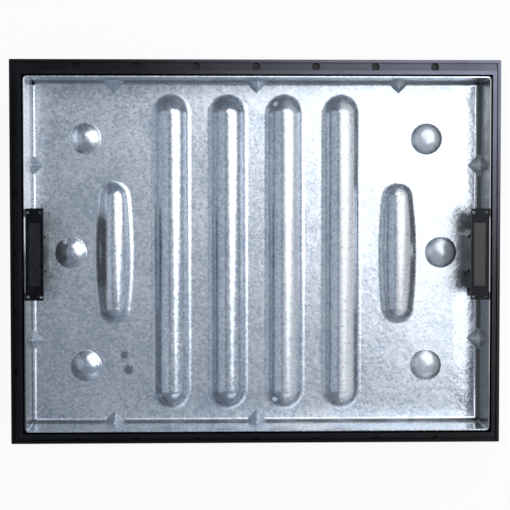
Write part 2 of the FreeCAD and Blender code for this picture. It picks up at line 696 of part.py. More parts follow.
def make_key_housing(side):
    """A moulded lifting-key housing, open below, with a flat plate on top."""
    body = new_body("key_housing_" + side)
    height = HOUSING_TOP + " - " + FLOOR
    box_outline = new_sketch(body, "box_outline_" + side, x=INNER_WALL_X + " - box_depth / 2",
                             level=FLOOR)
    rectangle(box_outline, "box_depth", "box_width")
    pad(body, box_outline, height, "box_" + side)
    front = value(INNER_WALL_X) - value("box_depth")
    low = (front, -value("box_width"), value(FLOOR))
    high = (front, value("box_width"), value(HOUSING_TOP))
    bevel_off(body, edges_within(body.Shape, low, high, is_upright), "box_corner",
              "box_corners_" + side)
    wing_outline = new_sketch(body, "wing_outline_" + side,
                              x=INNER_WALL_X + " - wing_depth / 2", level=FLOOR)
    rectangle(wing_outline, "wing_depth", "wing_width")
    pad(body, wing_outline, height, "wings_" + side)
    back = value(INNER_WALL_X)
    low = (back, -value("wing_width"), value(FLOOR))
    high = (back, value("wing_width"), value(FLOOR))
    bevel_off(body, edges_within(body.Shape, low, high), "heel_chamfer", "heel_" + side)
    open_foot = [
        "Face" + str(index)
        for index, face in enumerate(body.Shape.Faces, start=1)
        if face.BoundBox.ZMax < value(FLOOR) + 0.01
    ]
    base = body.Tip
    shell = body.newObject("PartDesign::Thickness", "shell_" + side)
    shell.Base = (base, open_foot)
    shell.Reversed = True
    shell.Join = "Intersection"
    bind(shell, Value="housing_wall")
    doc.recompute()
    plate_outline = new_sketch(body, "plate_outline_" + side,
                               x=INNER_WALL_X + " - housing_depth / 2", level=HOUSING_CEILING)
    rectangle(plate_outline, "housing_depth", "housing_width")
    pad(body, plate_outline, "housing_plate", "top_plate_" + side)
    edge = value(INNER_WALL_X) - value("housing_depth")
    low = (edge, -value("housing_width"), value(HOUSING_CEILING))
    high = (edge, value("housing_width"), value(HOUSING_TOP))
    round_off(body, edges_within(body.Shape, low, high, is_upright), "plate_corner",
              "plate_corners_" + side)
    recess = new_sketch(body, "recess_outline_" + side, x=CAP_CENTRE, level=HOUSING_TOP)
    rectangle(recess, "cap_width", "cap_length")
    pocket(body, recess, "cap_thickness", "cap_recess_" + side)
    slot = new_sketch(body, "key_slot_outline_" + side, x=CAP_CENTRE, level=HOUSING_TOP)
    rectangle(slot, "key_slot_width", "key_slot_length")
    pocket(body, slot, "housing_plate", "key_slot_" + side)
    hole_spot = new_sketch(body, "corner_hole_spot_" + side,
                           x=INNER_WALL_X + " - housing_depth + corner_hole_edge",
                           y="- ( housing_width / 2 - corner_hole_inset )", level=HOUSING_TOP)
    round_spot(hole_spot, "corner_hole")
    hole = pocket(body, hole_spot, "housing_plate", "corner_hole_" + side)
    grid(body, [hole], "corner_holes_" + side,
         ("housing_depth - 2 * corner_hole_edge", "2"),
         ("housing_width - 2 * corner_hole_inset", "2"))
    window = block(body, "window_" + side,
                   ("( box_corner + housing_wall )", "window_width", "window_height"),
                   (INNER_WALL_X + " - box_depth + ( box_corner + housing_wall ) / 2",
                    "- rivet_spread", FLOOR + " + window_sill"), cut=True)
    grid(body, [window], "windows_" + side, None, ("2 * rivet_spread", "2"))
    bore = cross_bore(body, "housing_rivet_bore_" + side, "rivet_hole", "2 * housing_wall",
                      (INNER_WALL_X + " - 2 * housing_wall", "- rivet_spread", RIVET_Z))
    grid(body, [bore], "housing_rivet_bores_" + side, None, ("2 * rivet_spread", "2"))
    turn_to_side(body, side)
    return body


def is_upright(edge):
    """Whether an edge stands straight up."""
    box = edge.BoundBox
    return box.XLength < 0.01 and box.YLength < 0.01 and box.ZLength > 1


def make_key_plate(side):
    """The bent steel bracket that takes the key's pull from the housing's slot to the wall."""
    body = new_body("key_plate_" + side)
    rear = "( " + INNER_WALL_X + " - housing_wall )"
    front = "( " + INNER_WALL_X + " - box_depth + housing_wall + bracket_front_gap )"
    tongue_depth = "( " + rear + " - " + front + " )"
    block(body, "tongue_" + side, (tongue_depth, "bracket_tongue_width", "bracket"),
          (rear + " - " + tongue_depth + " / 2", "0", HOUSING_CEILING + " - bracket"))
    block(body, "leg_" + side, ("bracket", "bracket_width", "bracket_drop"),
          (rear + " - bracket / 2", "0", HOUSING_CEILING + " - bracket_drop"))
    x = value(front)
    reach = value("bracket_tongue_width")
    top = value(HOUSING_CEILING)
    bevel_off(body, edges_within(body.Shape, (x, -reach, 0), (x, reach, top), is_upright),
              "bracket_tongue_corner", "tongue_corners_" + side)
    x = value(rear)
    outer_bend = edges_within(body.Shape, (x, -reach, top), (x, reach, top))
    round_off(body, outer_bend, "bracket", "bend_" + side)
    slot = new_sketch(body, "bracket_slot_outline_" + side, x=CAP_CENTRE, level=HOUSING_CEILING)
    rectangle(slot, "key_slot_width + bracket_slot_play", "key_slot_length + bracket_slot_play")
    pocket(body, slot, "bracket", "bracket_slot_" + side)
    bore = cross_bore(body, "bracket_rivet_bore_" + side, "rivet_hole", "2 * bracket",
                      (rear + " - 1.5 * bracket", "- rivet_spread", RIVET_Z))
    grid(body, [bore], "bracket_rivet_bores_" + side, None, ("2 * rivet_spread", "2"))
    turn_to_side(body, side)
    return body


def make_key_cap(side):
    """The push-in cap that closes the key slot, flush with the housing's plate."""
    body = new_body("key_cap_" + side)
    lid_outline = new_sketch(body, "lid_outline_" + side, x=CAP_CENTRE,
                             level=HOUSING_TOP + " - cap_thickness")
    rectangle(lid_outline, "cap_width - 2 * cap_gap", "cap_length - 2 * cap_gap")
    pad(body, lid_outline, "cap_thickness", "lid_" + side)
    leg = block(body, "leg_" + side + "_cap",
                ("( key_slot_width - 2 * cap_gap )", "cap_leg", "cap_leg_reach"),
                (CAP_CENTRE, "- ( key_slot_length / 2 - cap_gap - cap_leg / 2 )",
                 HOUSING_TOP + " - cap_thickness - cap_leg_reach"))
    grid(body, [leg], "legs_" + side + "_cap", None,
         ("key_slot_length - 2 * cap_gap - cap_leg", "2"))
    turn_to_side(body, side)
    return body


def make_housing_rivets():
    """Four blind rivets, set from inside, with low heads in the gap outside the tray."""
    grip = "( gauge + housing_wall + bracket )"
    rivets = []
    for side, sign in (("left", "-"), ("right", "")):
        for end, along in (("front", "-"), ("back", "")):
            pieces = []
            for tag, diameter, height, start in (
                ("shank", "rivet", grip, "tray_length / 2 - " + grip),
                ("head", "rivet_head", "rivet_head_height", "tray_length / 2"),
                ("tail", "rivet_tail", "rivet_tail_height",
                 "tray_length / 2 - " + grip + " - rivet_tail_height"),
            ):
                name = tag + "_" + side + "_" + end
                piece = doc.addObject("Part::Cylinder", name)
                turn = -90 if side == "left" else 90
                piece.Placement = Placement(Vector(), Rotation(Vector(0, 1, 0), turn))
                bind(piece, Radius=diameter + " / 2", Height=height)
                bind(piece, Placement__Base__x=sign + " ( " + start + " )")
                bind(piece, Placement__Base__y=along + " rivet_spread")
                bind(piece, Placement__Base__z=RIVET_Z)
                pieces.append(piece)
            rivet = doc.addObject("Part::MultiFuse", "rivet_" + side + "_" + end)
            rivet.Shapes = pieces
            rivets.append(rivet)
    group = doc.addObject("Part::Compound", "housing_rivets")
    group.Label = "housing_rivets"
    group.Links = rivets
    group.Placement = Placement()
    doc.recompute()
    return group


pieces = [make_frame(), make_seal(), make_tray(), make_housing_rivets()]
for side in ("left", "right"):
    pieces += [make_key_housing(side), make_key_plate(side), make_key_cap(side)]
doc.recompute()

for thing in doc.Objects:
    if "Invalid" in thing.State or "Error" in thing.State:
        raise ValueError(thing.Name + " is not up to date")
for piece in pieces:
    if piece.Shape.isNull() or not piece.Shape.isValid():
        raise ValueError(piece.Label + " has no valid shape")
os.makedirs("parts", exist_ok=True)
for piece in pieces:
    piece.Shape.exportStep("parts/" + piece.Label + ".step")
    print(piece.Label, len(piece.Shape.Solids), len(piece.Shape.Faces), round(piece.Shape.Volume))
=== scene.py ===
import math

import bmesh
import bpy
from mathutils import Matrix, Vector


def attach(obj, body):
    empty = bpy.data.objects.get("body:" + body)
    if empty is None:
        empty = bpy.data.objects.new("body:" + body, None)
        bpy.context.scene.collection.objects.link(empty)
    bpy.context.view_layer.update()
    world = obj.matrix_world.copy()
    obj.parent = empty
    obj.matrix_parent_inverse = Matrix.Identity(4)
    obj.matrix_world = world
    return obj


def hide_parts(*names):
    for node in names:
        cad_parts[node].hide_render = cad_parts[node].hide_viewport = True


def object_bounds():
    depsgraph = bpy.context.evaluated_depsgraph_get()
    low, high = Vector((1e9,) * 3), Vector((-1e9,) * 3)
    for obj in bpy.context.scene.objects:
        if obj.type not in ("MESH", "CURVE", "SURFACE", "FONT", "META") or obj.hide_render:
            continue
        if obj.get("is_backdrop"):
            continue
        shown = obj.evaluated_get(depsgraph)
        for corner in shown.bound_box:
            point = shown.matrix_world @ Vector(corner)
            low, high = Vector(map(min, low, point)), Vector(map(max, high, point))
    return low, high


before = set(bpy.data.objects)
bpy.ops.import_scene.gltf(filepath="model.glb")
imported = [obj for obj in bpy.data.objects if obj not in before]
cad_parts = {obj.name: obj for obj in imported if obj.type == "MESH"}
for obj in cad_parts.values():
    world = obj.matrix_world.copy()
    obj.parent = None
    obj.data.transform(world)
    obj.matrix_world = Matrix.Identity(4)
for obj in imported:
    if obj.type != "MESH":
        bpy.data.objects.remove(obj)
cad_low, cad_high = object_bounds()


# ---- The camera ---------------------------------------------------------------------------
# The photograph was taken from above, a little left of and behind the middle of the cover,
# with a long lens that leans about two degrees each way.
camera = bpy.data.cameras.new("camera")
camera.lens = 107.506
camera.sensor_width = 36.0
camera_stand = bpy.data.objects.new("camera", camera)
bpy.context.collection.objects.link(camera_stand)
camera_stand.location = (-0.067, 0.0835, 2.1527)
camera_stand.rotation_euler = [math.radians(turn) for turn in (-2.3402, -1.7441, -0.012)]
bpy.context.scene.camera = camera_stand


# ---- The studio ---------------------------------------------------------------------------
# A pale floor under a room that is brighter towards the right. A large soft box hangs close
# over the right-hand side, a dim one high over the middle, and another fills in from the left.
class Wire:
    """A socket that arithmetic works on: an expression on wires adds its Math nodes."""

    def __init__(self, finish, socket):
        self.finish = finish
        self.socket = socket

    def maths(self, operation, *others):
        values = {place: other for place, other in enumerate(others)}
        return self.finish.add("Math", {"operation": operation}, values)

    def __add__(self, other):
        return self.maths("ADD", self, other)

    def __radd__(self, other):
        return self.maths("ADD", other, self)

    def __sub__(self, other):
        return self.maths("SUBTRACT", self, other)

    def __rsub__(self, other):
        return self.maths("SUBTRACT", other, self)

    def __mul__(self, other):
        return self.maths("MULTIPLY", self, other)

    def __rmul__(self, other):
        return self.maths("MULTIPLY", other, self)

    def __truediv__(self, other):
        return self.maths("DIVIDE", self, other)

    def __pow__(self, other):
        return self.maths("POWER", self, other)

    def __abs__(self):
        return self.maths("ABSOLUTE", self)

    def __round__(self):
        return self.maths("ROUND", self)

    def above(self, low, high):
        """0 up to low, 1 from high, and a smooth step between them."""
        return self.finish.add("MapRange", {"interpolation_type": "SMOOTHSTEP"},
                               {0: self, 1: low, 2: high})

    def below(self, low, high):
        """1 up to low, 0 from high, and a smooth step between them."""
        return 1 - self.above(low, high)


class Finish:
    """The nodes of a material or a world. What is the same all over is set on its shader."""

    def __init__(self, name, owner=None, shader="Principled BSDF", pattern="Object", **plain):
        self.owner = owner or bpy.data.materials.new(name)
        self.owner.use_nodes = True
        self.nodes = self.owner.node_tree.nodes
        self.shader = self.nodes[shader]
        for socket, value in plain.items():
            self.shader.inputs[socket.replace("_", " ")].default_value = value
        self.place = self.add("TexCoord", output=pattern)

    def add(self, kind, settings=None, inputs=None, output=0):
        """Add a node, set it, and give its sockets values or links. Returns one output."""
        node = self.nodes.new("ShaderNode" + kind)
        for setting, value in (settings or {}).items():
            if setting == "stops":
                while len(node.color_ramp.elements) < len(value):
                    node.color_ramp.elements.new(1.0)
                for stop, (position, colour) in zip(node.color_ramp.elements, value):
                    stop.position = position
                    stop.color = (*colour, 1)
            else:
                setattr(node, setting, value)
        for socket, value in (inputs or {}).items():
            self.join(value, node.inputs[socket])
        return Wire(self, node.outputs[output])

    def join(self, value, socket):
        """Link a wire to a socket, or set the socket to a plain value."""
        if isinstance(value, Wire):
            self.owner.node_tree.links.new(value.socket, socket)
        elif isinstance(value, tuple) and len(value) == 3 and socket.type == "RGBA":
            socket.default_value = (*value, 1)
        else:
            socket.default_value = value

    def feed(self, **sockets):
        """Link what varies over the surface to the shader."""
        for socket, value in sockets.items():
            self.join(value, self.shader.inputs[socket.replace("_", " ")])

    def outputs(self, kind, inputs=None):
        """Every output of a new node, by its name."""
        node = self.add(kind, None, inputs).socket.node
        return {socket.name: Wire(self, socket) for socket in node.outputs}

    def axes(self):
        """The three coordinates, each as a wire."""
        split = self.outputs("SeparateXYZ", {0: self.place})
        return split["X"], split["Y"], split["Z"]

    def noise(self, scale, detail=3.0, roughness=0.55, place=None):
        return self.add("TexNoise", None, {"Vector": place or self.place, "Scale": scale,
                                           "Detail": detail, "Roughness": roughness})

    def mapped(self, turn, scale):
        """The coordinates, turned and stretched for a pattern with a direction."""
        return self.add("Mapping", None, {"Vector": self.place, "Rotation": turn,
                                          "Scale": scale})

    def blend(self, share, first, second):
        """Two colours, mixed by a share from 0 to 1."""
        return self.add("Mix", {"data_type": "RGBA"}, {0: share, 6: first, 7: second}, 2)

    def bump(self, height, distance, strength, normal=None):
        inputs = {"Height": height, "Distance": distance, "Strength": strength}
        if normal:
            inputs["Normal"] = normal
        return self.add("Bump", None, inputs)


def soft_box(name, place, width, height, radiance, colour=(1, 1, 1)):
    """A rectangular lamp that faces the middle of the cover and glows evenly."""
    lamp = bpy.data.lights.new(name, "AREA")
    lamp.shape = "RECTANGLE"
    lamp.size = width
    lamp.size_y = height
    lamp.energy = radiance * math.pi * width * height
    lamp.color = colour
    stand = bpy.data.objects.new(name, lamp)
    bpy.context.collection.objects.link(stand)
    stand.location = place
    stand.rotation_euler = Vector(place).to_track_quat("Z", "Y").to_euler()


bpy.context.scene.view_settings.view_transform = "Standard"

bpy.ops.object.select_all(action="DESELECT")
bpy.ops.mesh.primitive_plane_add(size=8.0)
floor = bpy.context.object
floor.name = "studio_floor"
floor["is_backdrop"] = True

# Seen directly, in gloss or through glass, the floor mostly glows white. The rest of what is
# seen is its paint, which keeps the cover's shadow.
GLOW_SHARE = 0.93
paint = Finish("studio_floor", Base_Color=(0.8, 0.8, 0.8, 1), Roughness=0.9)
rays = paint.outputs("LightPath")
unseen = (1 - rays["Is Camera Ray"]) * (1 - rays["Is Glossy Ray"]) * (
    1 - rays["Is Transmission Ray"])
lit_paint = Wire(paint, paint.shader.outputs[0])
shown = paint.add("MixShader", None,
                  {0: GLOW_SHARE * (1 - unseen), 1: lit_paint, 2: paint.add("Emission")})
paint.join(shown, paint.nodes["Material Output"].inputs[0])
floor.data.materials.append(paint.owner)

# The room's colour runs from dark at the left to light at the right. The white backdrop goes
# round the horizon and fades into the room a little above it.
world = bpy.data.worlds.new("studio")
bpy.context.scene.world = world
room = Finish("studio", world, "Background", "Generated")
eastward, _, upward = room.axes()
walls = room.add("ValToRGB", {"stops": ((0.08, (0.09, 0.1, 0.125)), (0.45, (0.25, 0.285, 0.33)),
                                        (0.6, (0.25, 0.285, 0.33)), (0.9, (0.42, 0.47, 0.54)))},
                 {0: eastward * 0.5 + 0.5})
room.feed(Color=room.blend(upward.above(0.05, 0.2), (1, 1, 1), walls))

soft_box("near_panel", (0.56, 0.44, 1.25), width=1.5, height=1.2, radiance=2.35)
soft_box("far_panel", (0.12, -0.15, 3.2), width=1.0, height=1.0, radiance=0.32)
soft_box("fill_panel", (-1.9, 0.1, 1.9), width=2.0, height=2.4, radiance=0.5,
         colour=(0.8, 0.9, 1.0))


# ---- The frame ----------------------------------------------------------------------------
# One injection moulding in black polypropylene: a ledge that carries the tray, an upstand round
# it and a flange with blind sockets. A painted sheen greys it towards its top right-hand
# corner.
def moulded_plastic(name, colour, dust_colour, dust, grain, gloss, painted_sheen=None):
    """Black moulded plastic: a fine grain, flow clouds, settled dust, and a painted sheen at
    one end if one is given.
    """
    plastic = Finish(name, Specular_IOR_Level=gloss)
    clouds = plastic.noise(22, 4)
    settled = plastic.noise(140, 5, 0.7).above(0.5, 0.72) * dust
    scuffs = plastic.noise(1, 6, 0.7, plastic.mapped((0, 0, 0.5), (35, 420, 300)))
    marks = scuffs.above(0.6, 0.75)
    base = plastic.blend(clouds.above(0.35, 0.7), colour, tuple(1.6 * c for c in colour))
    base = plastic.blend(settled + marks * 0.25 * dust, base, dust_colour)
    if painted_sheen:
        east, north, height = plastic.axes()
        # The painted sheen stays off the sockets' floors and is thinner on the channel's floor,
        # which paints shade into those hollows.
        sheen_share = (east + north * 1.6).above(0.2, 0.8) * (0.6 + clouds * 0.6)
        sheen_share = sheen_share * height.above(0.002, 0.005) * (0.7 + height.above(0.008, 0.012) * 0.3)
        base = plastic.blend(sheen_share, base, painted_sheen)
    fine = plastic.noise(grain, 2, 0.5)
    plastic.feed(Base_Color=base, Roughness=0.24 + clouds * 0.1 + settled * 0.25 - marks * 0.05,
                 Normal=plastic.bump(fine, 0.00006, 0.5,
                                     plastic.bump(clouds, 0.0012, 0.25)))
    return plastic


def cover(piece, finish):
    """Give a piece one finish all over."""
    piece.data.materials.clear()
    piece.data.materials.append(finish.owner)


# The frame's last colour is a painted sheen, paler towards the top right where the lamps light
# it.
cover(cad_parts["frame"],
      moulded_plastic("frame_plastic", (0.0015, 0.0017, 0.003), (0.02, 0.021, 0.028),
                      dust=0.3, grain=1500, gloss=0.25, painted_sheen=(0.27, 0.275, 0.37)))


# ---- The seal -----------------------------------------------------------------------------
# A soft strip of black cellular rubber, stuck round the frame's ledge in one ring. The tray
# lies on it.
rubber = Finish("seal_rubber")
cells = rubber.add("TexVoronoi", None, {"Vector": rubber.place, "Scale": 900.0})
pores = cells.above(0.1, 0.5)
rubber.feed(Base_Color=rubber.blend(pores, (0.008, 0.008, 0.008), (0.022, 0.022, 0.023)),
            Roughness=0.75 + rubber.noise(60) * 0.2, Normal=rubber.bump(pores, 0.0003, 0.6))
cover(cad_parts["seal"], rubber)


# ---- The tray -----------------------------------------------------------------------------
# One 2 mm sheet of galvanised steel, pressed up into four long ribs, two short barrel ribs
# and six domes, and folded up into walls with gusset darts across the folds.
GAUGE = 0.002
FLOOR = 0.017
RIM = 0.097
INNER_X = 0.3135
INNER_Y = 0.2385
FLOOR_FOLD = 0.0065
CORNER_FOLD = 0.003
RIM_ROUNDING = 0.0004
CLOSE = 0.000005


def pick(kind, test):
    """Select the vertices, edges or faces of the mesh in hand that pass a test."""
    bpy.ops.mesh.select_mode(type=kind)
    bpy.ops.mesh.select_all(action="DESELECT")
    mesh = bmesh.from_edit_mesh(bpy.context.object.data)
    for item in {"VERT": mesh.verts, "EDGE": mesh.edges, "FACE": mesh.faces}[kind]:
        corners = [item] if kind == "VERT" else item.verts
        middle = sum((corner.co for corner in corners), Vector()) / len(corners)
        if test(item, middle):
            item.select_set(True)
    mesh.select_flush_mode()
    bmesh.update_edit_mesh(bpy.context.object.data)


def half_section(name, crest, foot, rise, steps):
    """Start a piece with half the section of a pressed form, standing on the floor's level."""
    joined = crest + foot
    spread = math.sqrt(joined ** 2 - (joined - rise) ** 2)
    slope = math.acos((joined - rise) / joined)
    bpy.ops.object.select_all(action="DESELECT")
    bpy.ops.mesh.primitive_plane_add(size=0.001, location=(0, 0, 0))
    bpy.context.object.name = name
    bpy.ops.object.mode_set(mode="EDIT")
    bpy.ops.mesh.select_mode(type="VERT")
    bpy.ops.mesh.merge(type="CENTER")
    bpy.ops.transform.translate(value=(spread, 0, FLOOR))
    bpy.ops.mesh.spin(steps=steps[0], angle=-slope, axis=(0, 1, 0),
                      center=(spread, 0, FLOOR + foot))
    bpy.ops.mesh.spin(steps=steps[1], angle=slope, axis=(0, 1, 0),
                      center=(0, 0, FLOOR + rise - crest))


def turned_end(reach, steps):
    """Turn the half section a quarter round the end of a rib, and pick its outline there."""
    bpy.ops.mesh.select_all(action="SELECT")
    bpy.ops.transform.translate(value=(0, reach, 0))
    bpy.ops.mesh.spin(steps=steps, angle=-math.pi / 2, axis=(0, 0, 1), center=(0, reach, FLOOR))
    bpy.ops.mesh.select_all(action="SELECT")
    bpy.ops.mesh.remove_doubles(threshold=CLOSE)
    pick("VERT", lambda vertex, middle: abs(middle.y - reach) < CLOSE)


def press_copies(places):
    """Mirror a quarter form to the other three, and put a copy of the whole at each place."""
    bpy.ops.mesh.select_all(action="SELECT")
    bpy.ops.mesh.remove_doubles(threshold=CLOSE)
    bpy.ops.object.mode_set(mode="OBJECT")
    form = bpy.context.object
    mirror = form.modifiers.new("other_quarters", "MIRROR")
    mirror.use_axis = (True, True, False)
    mirror.merge_threshold = CLOSE
    bpy.ops.object.modifier_apply(modifier=mirror.name)
    copies = []
    for x, y in places:
        copy = form.copy()
        copy.data = form.data.copy()
        bpy.context.collection.objects.link(copy)
        copy.data.transform(Matrix.Translation((x, y, 0)))
        copies.append(copy)
    bpy.data.objects.remove(form)
    return copies


# A long rib is half a section, turned a quarter round its end and drawn out to the middle.
RIB_PITCH = 0.0794
RIB_REACH = 0.1934
RIB_FOOT = 0.012
half_section("long_rib", crest=0.025, foot=RIB_FOOT, rise=0.014, steps=(8, 12))
turned_end(RIB_REACH, steps=16)
bpy.ops.mesh.extrude_region_move(TRANSFORM_OT_translate={"value": (0, -RIB_REACH, 0)})
forms = press_copies([(lane * RIB_PITCH, 0) for lane in (-1.5, -0.5, 0.5, 1.5)])

# A short rib is a barrel: its section swells and rises from each end to the middle.
SHORT_X = 0.1995
SHORT_REACH = 0.077
END_RADIUS = 0.0218
MIDDLE_RADIUS = 0.025
AXIS_DEPTH = 0.011
BARREL_RUNS = 10
half_section("short_rib", crest=END_RADIUS, foot=RIB_FOOT, rise=END_RADIUS - AXIS_DEPTH,
             steps=(8, 12))
turned_end(SHORT_REACH, steps=16)
side_radius = (SHORT_REACH ** 2 + MIDDLE_RADIUS ** 2 - END_RADIUS ** 2) / (
    2 * (MIDDLE_RADIUS - END_RADIUS))
drop = AXIS_DEPTH + RIB_FOOT
before = END_RADIUS
for run in range(1, BARREL_RUNS + 1):
    y = SHORT_REACH * (1 - run / BARREL_RUNS)
    radius = MIDDLE_RADIUS - side_radius + math.sqrt(side_radius ** 2 - y ** 2)
    wider = math.sqrt((radius + RIB_FOOT) ** 2 - drop ** 2)
    wider /= math.sqrt((before + RIB_FOOT) ** 2 - drop ** 2)
    higher = (radius - AXIS_DEPTH) / (before - AXIS_DEPTH)
    bpy.ops.mesh.extrude_region_move(
        TRANSFORM_OT_translate={"value": (0, -SHORT_REACH / BARREL_RUNS, 0)})
    bpy.ops.transform.resize(value=(wider, 1, higher), center_override=(0, y, FLOOR))
    before = radius
forms += press_copies([(side * SHORT_X, 0) for side in (-1, 1)])

# A dome is a half section turned all the way round. Four stand towards the corners, and one
# in front of each key housing.
DOME_X = 0.239
DOME_Y = 0.159
MIDDLE_DOME_X = 0.2595
half_section("dome", crest=0.038, foot=0.0025, rise=0.0068, steps=(5, 12))
turned_end(0, steps=12)
forms += press_copies([(side * DOME_X, row * DOME_Y) for side in (-1, 1) for row in (1, -1)]
                      + [(side * MIDDLE_DOME_X, 0) for side in (-1, 1)])

# The floor and walls start as the box inside the tray, with its folds rounded.
bpy.ops.object.select_all(action="DESELECT")
bpy.ops.mesh.primitive_cube_add(size=1.0, location=(0, 0, (FLOOR + RIM) / 2))
tray = bpy.context.object
tray.name = "tray_sheet"
tray.scale = (2 * INNER_X, 2 * INNER_Y, RIM - FLOOR)
bpy.ops.object.transform_apply(location=True, rotation=True, scale=True)
bpy.ops.object.mode_set(mode="EDIT")
pick("FACE", lambda face, middle: middle.z > RIM - CLOSE)
bpy.ops.mesh.delete(type="FACE")
pick("EDGE", lambda edge, middle: middle.z < FLOOR + CLOSE)
bpy.ops.mesh.bevel(offset=FLOOR_FOLD, segments=8, affect="EDGES")
pick("EDGE", lambda edge, middle: abs(middle.x) > INNER_X - CLOSE
     and abs(middle.y) > INNER_Y - CLOSE and FLOOR + FLOOR_FOLD < middle.z < RIM - CLOSE)
bpy.ops.mesh.bevel(offset=CORNER_FOLD, segments=5, affect="EDGES")
pick("FACE", lambda face, middle: middle.z < FLOOR + CLOSE)
bpy.ops.mesh.delete(type="ONLY_FACE")
bpy.ops.object.mode_set(mode="OBJECT")

# The pressed forms are set into the floor, which is filled in round their outlines.
for form in forms:
    form.select_set(True)
tray.select_set(True)
bpy.context.view_layer.objects.active = tray
bpy.ops.object.join()
bpy.ops.object.mode_set(mode="EDIT")
pick("EDGE", lambda edge, middle: middle.z < FLOOR + CLOSE and not edge.is_manifold)
bpy.ops.mesh.fill()
bpy.ops.mesh.select_all(action="SELECT")
bpy.ops.mesh.remove_doubles(threshold=CLOSE)
bpy.ops.mesh.normals_make_consistent(inside=False)
bpy.ops.object.mode_set(mode="OBJECT")
if max(face.normal.z for face in tray.data.polygons) < 0.999:
    tray.data.flip_normals()
sheet = tray.modifiers.new("gauge", "SOLIDIFY")
sheet.thickness = GAUGE
sheet.offset = -1
sheet.use_even_offset = True
bpy.ops.object.modifier_apply(modifier=sheet.name)
bpy.ops.object.mode_set(mode="EDIT")
pick("EDGE", lambda edge, middle: middle.z > RIM - CLOSE and edge.calc_face_angle(0) > 1)
bpy.ops.mesh.bevel(offset=RIM_ROUNDING, segments=3, affect="EDGES")
bpy.ops.object.mode_set(mode="OBJECT")


def shape(piece, tools, operation):
    """Cut a set of closed tools out of a piece, or weld them to it."""
    bpy.ops.object.select_all(action="DESELECT")
    for tool in tools:
        tool.select_set(True)
    bpy.context.view_layer.objects.active = tools[0]
    bpy.ops.object.join()
    cutter = bpy.context.object
    change = piece.modifiers.new("shape", "BOOLEAN")
    change.operation = operation
    change.solver = "EXACT"
    change.object = cutter
    bpy.context.view_layer.objects.active = piece
    bpy.ops.object.modifier_apply(modifier=change.name)
    bpy.data.objects.remove(cutter)


# The darts are pushed in from outside, so each has a hollow back a sheet's thickness behind it,
# which is open outwards.
DART_X = 0.199
DART_Y = 0.122
DART_LEG = 0.0165
DART_RISE = 0.017
DART_ROOT = 0.001
DART_RIDGE = 0.0015
CLEAR_OF_WALL = 0.02


def pyramid(x, y, away, wall, level):
    """A dart: a pyramid with round ridges that stands on its corner, cut off in its wall."""
    depth = DART_RISE + DART_ROOT
    bpy.ops.object.select_all(action="DESELECT")
    bpy.ops.mesh.primitive_cone_add(vertices=4, radius1=DART_LEG * depth / DART_RISE, radius2=0,
                                    depth=depth, location=(x, y, level + DART_RISE - depth / 2))
    bpy.ops.object.transform_apply(location=True, rotation=True, scale=True)
    bpy.ops.object.mode_set(mode="EDIT")
    pick("EDGE", lambda edge, middle: middle.z > level)
    bpy.ops.mesh.bevel(offset=DART_RIDGE, segments=4, affect="EDGES")
    bpy.ops.mesh.select_all(action="SELECT")
    bpy.ops.mesh.bisect(plane_co=wall, plane_no=away, use_fill=True, clear_outer=True)
    bpy.ops.object.mode_set(mode="OBJECT")
    return bpy.context.object


dart_places = [(lane * DART_X, side * INNER_Y, (0, side, 0)) for lane in (-1, 0, 1)
               for side in (-1, 1) if (lane, side) != (1, -1)]
dart_places += [(side * INNER_X, row * DART_Y, (side, 0, 0)) for row in (-1, 1)
                for side in (-1, 1)]
darts = []
hollows = []
for x, y, away in dart_places:
    out = Vector(away)
    place = Vector((x, y, 0))
    darts.append(pyramid(x, y, away, place + out * GAUGE / 2, FLOOR))
    back = place + out * GAUGE
    hollows.append(pyramid(back.x, back.y, away, back + out * CLEAR_OF_WALL, FLOOR - GAUGE))
shape(tray, darts, "UNION")
shape(tray, hollows, "DIFFERENCE")


def drill(radius, depth, place, turn=(0, 0, 0)):
    """A round tool for a hole."""
    bpy.ops.mesh.primitive_cylinder_add(vertices=32, radius=radius, depth=depth, location=place,
                                        rotation=turn)
    return bpy.context.object


# Relief holes stand where the folds cross, three of them pressed nearly shut, and the
# rivets' holes high in the short walls.
OPEN_HOLE = 0.0025
SHUT_HOLE = 0.0012
RELIEF_X = 0.3105
RELIEF_Y = 0.2355
RIVET_X = 0.3145
RIVET_Y = 0.0255
RIVET_LEVEL = 0.075
holes = []
for side in (-1, 1):
    for row in (-1, 1):
        radius = OPEN_HOLE if (side, row) == (-1, 1) else SHUT_HOLE
        holes.append(drill(radius, depth=0.01,
                           place=(side * RELIEF_X, row * RELIEF_Y, FLOOR - GAUGE)))
    for row in (-1, 1):
        holes.append(drill(OPEN_HOLE, depth=0.02, turn=(0, math.pi / 2, 0),
                           place=(side * RIVET_X, row * RIVET_Y, RIVET_LEVEL)))
for hole in holes:
    hole.select_set(True)
bpy.ops.object.transform_apply(location=True, rotation=True, scale=True)
shape(tray, holes, "DIFFERENCE")
bpy.ops.object.select_all(action="DESELECT")
tray.select_set(True)
bpy.context.view_layer.objects.active = tray
bpy.ops.object.shade_smooth_by_angle(angle=math.radians(30))
evened = tray.modifiers.new("even_normals", "WEIGHTED_NORMAL")
evened.keep_sharp = True
bpy.ops.object.modifier_apply(modifier=evened.name)

zinc = Finish("galvanised_sheet")
east, north, height = zinc.axes()
outward = abs(east)
sideways = abs(north)
lift = height - FLOOR
# The zinc froze in flat crystals a few millimetres wide, each a little lighter or darker.
crystals = zinc.add("TexVoronoi", None, {"Vector": zinc.place, "Scale": 330.0}, 1)
crystal_tone = zinc.add("SeparateColor", None, {0: crystals})
clouds = zinc.noise(12, 5, 0.65)
fine = zinc.noise(420, 3, 0.6)
tone = 0.3 * crystal_tone + 0.55 * clouds + 0.3 * fine
base = zinc.blend(tone.above(0.38, 0.78), (0.46, 0.515, 0.595), (0.7, 0.735, 0.78))
